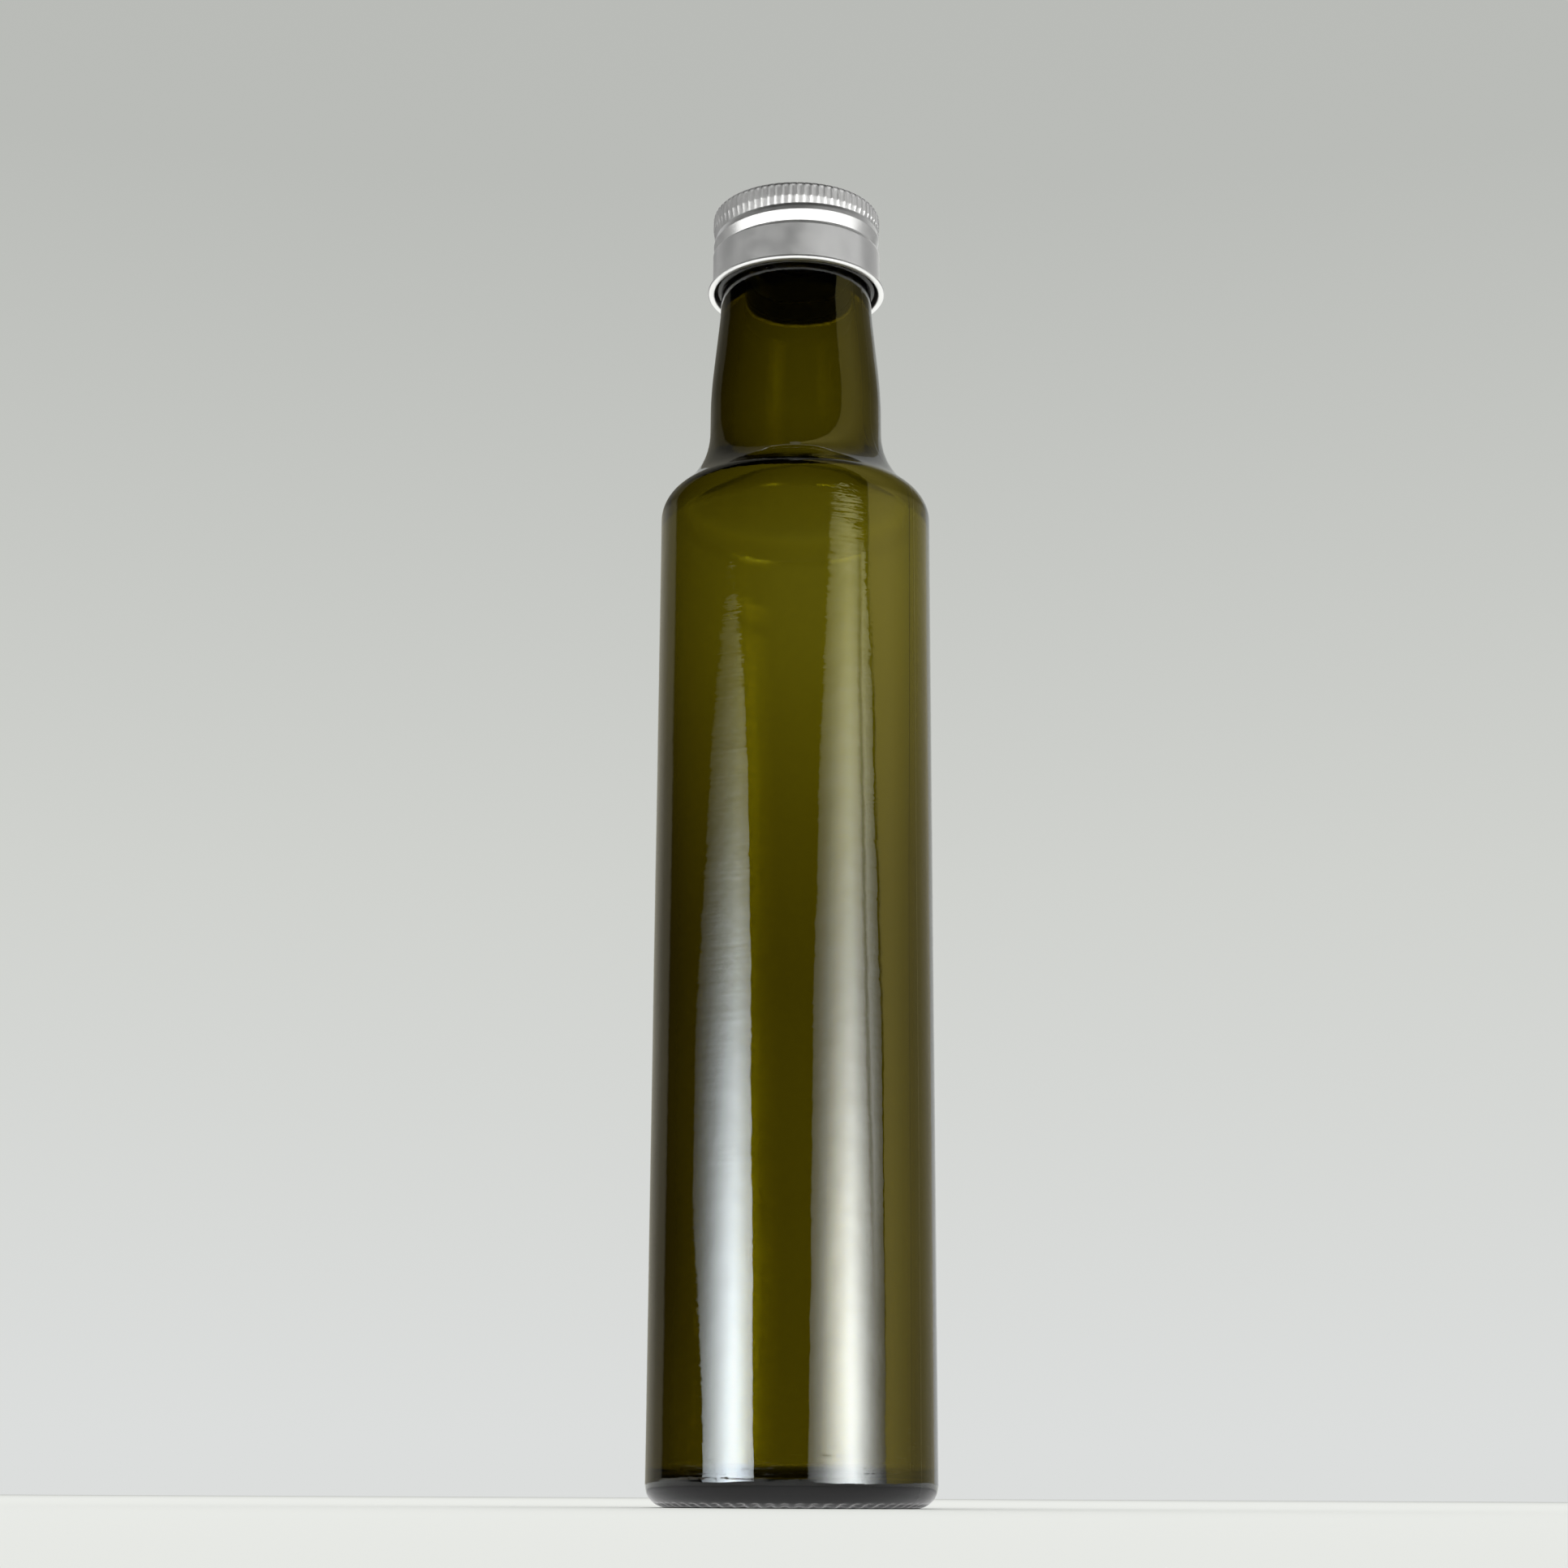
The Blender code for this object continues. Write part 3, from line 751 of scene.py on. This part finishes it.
def makeGlowing(name):
    # light in the colour and strength of the mesh's own glow attribute
    material, tree = newMaterial(name)
    output = addNode(tree, "ShaderNodeOutputMaterial")
    glow = addNode(tree, "ShaderNodeAttribute", attribute_name="glow")
    light = addNode(tree, "ShaderNodeEmission", {"Color": glow.outputs["Color"], "Strength": 1.0})
    tree.links.new(light.outputs[0], output.inputs["Surface"])
    material.cycles.emission_sampling = "NONE"
    return material


def addGlowGrid(name, columns, levels, placeOf, glowOf):
    # a grid of points from two shares between 0 and 1, each point with its own glow
    points, glows = [], []
    for i in range(columns + 1):
        for j in range(levels + 1):
            across, up = i / columns, j / levels
            points.append(placeOf(across, up))
            glows += [*glowOf(across, up), 1.0]
    faces = []
    for i in range(columns):
        for j in range(levels):
            corner = i * (levels + 1) + j
            faces.append((corner, corner + 1, corner + levels + 2, corner + levels + 1))
    grid = addStageMesh(name, points, faces, makeGlowing(name))
    stored = grid.data.attributes.new("glow", "FLOAT_COLOR", "POINT")
    stored.data.foreach_set("color", glows)
    grid.visible_camera = False
    grid.visible_diffuse = False
    grid.visible_shadow = False
    return grid


def blend(first, last, share):
    return [a + (b - a) * share for a, b in zip(first, last)]


def makeSoftLight(name, light):
    # a softbox seen in the glass: it tapers upwards and fades away from its hot foot
    s = studio
    centre = Vector(s["centre"])
    levels, inner, outer = zip(*light["edges"])

    def anglesAt(across, up):
        elevation = levels[0] + (levels[-1] - levels[0]) * up
        azimuths = [np.interp(elevation, levels, edge) for edge in (inner, outer)]
        return azimuths[0] + (azimuths[1] - azimuths[0]) * across, elevation

    def placeOf(across, up):
        return centre + direction(*anglesAt(across, up)) * s["lightDistance"]

    def glowOf(across, up):
        azimuth, elevation = anglesAt(across, up)
        elevation = max(elevation, 0.0)
        outside = abs(azimuth) > abs(light["hot"])
        width = light["outerWidth" if outside else "innerWidth"]
        bell = math.exp(-(abs(azimuth - light["hot"]) / width) ** s["lightSpread"])
        foot = light["foot"] * math.exp(-(elevation / light["footFall"]) ** 2)
        haze = light["haze"] * (1 - (elevation / light["hazeFall"]) ** 2)
        glow = (foot + haze) * bell
        if light["bar"]:
            past = azimuth - np.interp(elevation, *zip(*light["bar"]))
            strength = smoothStep((elevation - s["barFrom"]) / (s["barTo"] - s["barFrom"]))
            (brighter, beyond), (darker, wide) = s["barBrighter"], s["barDarker"]
            bar = brighter * smoothStep(past / beyond) - darker * math.exp(-(past / wide) ** 2)
            glow *= 1 + strength * bar
        warmth = smoothStep((elevation - s["warmFrom"]) / (s["warmTo"] - s["warmFrom"]))
        tint = blend(light["cool"], light["warm"], warmth)
        return [glow * part for part in tint]

    softbox = addGlowGrid(name, 64, 36, placeOf, glowOf)
    lightOnly(softbox, "glassBottle")


def makeScreen():
    # what the glass reflects beside and above the lights, seen by reflections only
    s = studio
    centre = Vector(s["centre"])
    azimuths, shades, warmths = zip(*s["screenShades"])
    outerEdge = [(level, outer) for level, inner, outer in rightLight["edges"]]

    def anglesAt(across, up):
        azimuth = azimuths[0] + (azimuths[-1] - azimuths[0]) * across
        return azimuth, s["screenLow"] + (s["screenHigh"] - s["screenLow"]) * up

    def placeOf(across, up):
        return centre + direction(*anglesAt(across, up)) * s["screenDistance"]

    def glowOf(across, up):
        azimuth, elevation = anglesAt(across, up)
        low, high, share = s["screenDims"]
        dim = 1 + (share - 1) * smoothStep((elevation - low) / (high - low))
        # the warm part starts just outside the right light, all the way up
        lightEdge = max(float(np.interp(elevation, *zip(*outerEdge))), s["screenNarrowest"])
        if 0 < azimuth < s["screenStart"]:
            azimuth = s["screenStart"] + min(azimuth - lightEdge - s["screenGap"], 0)
        tint = blend((1, 1, 1), s["screenWarmth"], np.interp(azimuth, azimuths, warmths))
        glow = dim * float(np.interp(azimuth, azimuths, shades))
        return [glow * part for part in tint]

    screen = addGlowGrid("darkScreen", 400, 90, placeOf, glowOf)
    screen.visible_transmission = False
    lightOnly(screen, "glassBottle")


def makeFloorCard():
    # the heel's rounded edge reflects this ring
    s = studio
    low, high = s["cardReach"]

    def placeOf(across, up):
        return direction(360 * across, 0) * (low + (high - low) * up) + Vector((0, 0, s["cardHeight"]))

    def glowOf(across, up):
        return [s["cardGlow"] * (1 - s["cardFade"] * smoothStep(up))] * 3

    card = addGlowGrid("paleCard", 64, 8, placeOf, glowOf)
    card.visible_transmission = False


def makeAreaLamp(name, shape, width, height, place, glow):
    # radiance of the lamp's face is its glow
    data = bpy.data.lights.new(name, "AREA")
    data.shape, data.size, data.size_y = shape, width, height
    area = width * height * (math.pi / 4 if shape == "ELLIPSE" else 1.0)
    data.energy = glow * math.pi * area
    lamp = bpy.data.objects.new(name, data)
    bpy.context.scene.collection.objects.link(lamp)
    lamp.location = place
    lamp.visible_camera = False
    lamp.visible_transmission = False
    return lamp


def makeLamps():
    s = studio
    overhead = makeAreaLamp(
        "overhead", "ELLIPSE", s["overheadSize"], s["overheadSize"], s["overheadPlace"], s["overheadGlow"])
    overhead.visible_glossy = False
    for azimuth, elevation, width, height, glow in s["panels"]:
        distance = s["panelDistance" if elevation > 0 else "lowPanelDistance"]
        place = Vector((0, 0, capSizes["rim"])) + direction(azimuth, elevation) * distance
        panel = makeAreaLamp("capPanel", "RECTANGLE", width, height, place, glow)
        panel.rotation_euler = (math.radians(90 - elevation), 0.0, math.radians(azimuth))
        panel.visible_diffuse = False
        lightOnly(panel, "screwCap")


def makeWorld():
    # a pale room: lighter low down, greyer towards the ceiling
    world = bpy.data.worlds.new("paleRoom")
    bpy.context.scene.world = world
    world.use_nodes = True
    tree = world.node_tree
    tree.nodes.clear()
    output = addNode(tree, "ShaderNodeOutputWorld")
    facing = addNode(tree, "ShaderNodeTexCoord").outputs["Generated"]
    height = addNode(tree, "ShaderNodeSeparateXYZ", {0: facing}).outputs[2]
    ramp = addNode(tree, "ShaderNodeValToRGB", {"Fac": height})
    stops = ramp.color_ramp.elements
    stops.remove(stops[1])
    stops[0].position, stops[0].color = studio["backdrop"][0][0], linear(studio["backdrop"][0][1])
    for position, color in studio["backdrop"][1:]:
        stops.new(position).color = linear(color)
    background = addNode(tree, "ShaderNodeBackground", {"Color": ramp.outputs[0], "Strength": 1.0})
    tree.links.new(background.outputs[0], output.inputs["Surface"])


def makeFloor():
    material, tree = newMaterial("paleFloor")
    output = addNode(tree, "ShaderNodeOutputMaterial")
    surface = addNode(tree, "ShaderNodeBsdfPrincipled", {
        "Base Color": linear(studio["floorColor"]), "Roughness": 0.9, "Specular IOR Level": 0.0})
    tree.links.new(surface.outputs[0], output.inputs["Surface"])
    sides = studio["floorSides"]
    rim = [tuple(direction(360 * i / sides, 0) * studio["floorRadius"]) for i in range(sides)]
    addStageMesh("paleFloor", rim, [tuple(range(sides))], material)


def makeCamera():
    v = cameraView
    data = bpy.data.cameras.new("camera")
    data.sensor_width = v["sensor"]
    data.lens = v["focalPixels"] / v["imagePixels"] * v["sensor"]
    data.clip_start, data.clip_end = 0.01, 200.0
    camera = bpy.data.objects.new("camera", data)
    bpy.context.scene.collection.objects.link(camera)
    tilt = Matrix.Rotation(math.radians(90 + v["pitch"]), 4, "X")
    roll = Matrix.Rotation(math.radians(v["roll"]), 4, "Z")
    camera.matrix_world = Matrix.Translation(v["place"]) @ tilt @ roll
    bpy.context.scene.camera = camera


print("camera and studio")
makeCamera()
makeWorld()
makeFloor()
makeScreen()
makeFloorCard()
makeLamps()
makeSoftLight("leftLight", leftLight)
makeSoftLight("rightLight", rightLight)
bpy.context.scene.view_settings.view_transform = "Standard"

print("bottle and cap")
turnedTree = buildTurnedTree()
makeBottle(turnedTree)
makeCap(turnedTree)
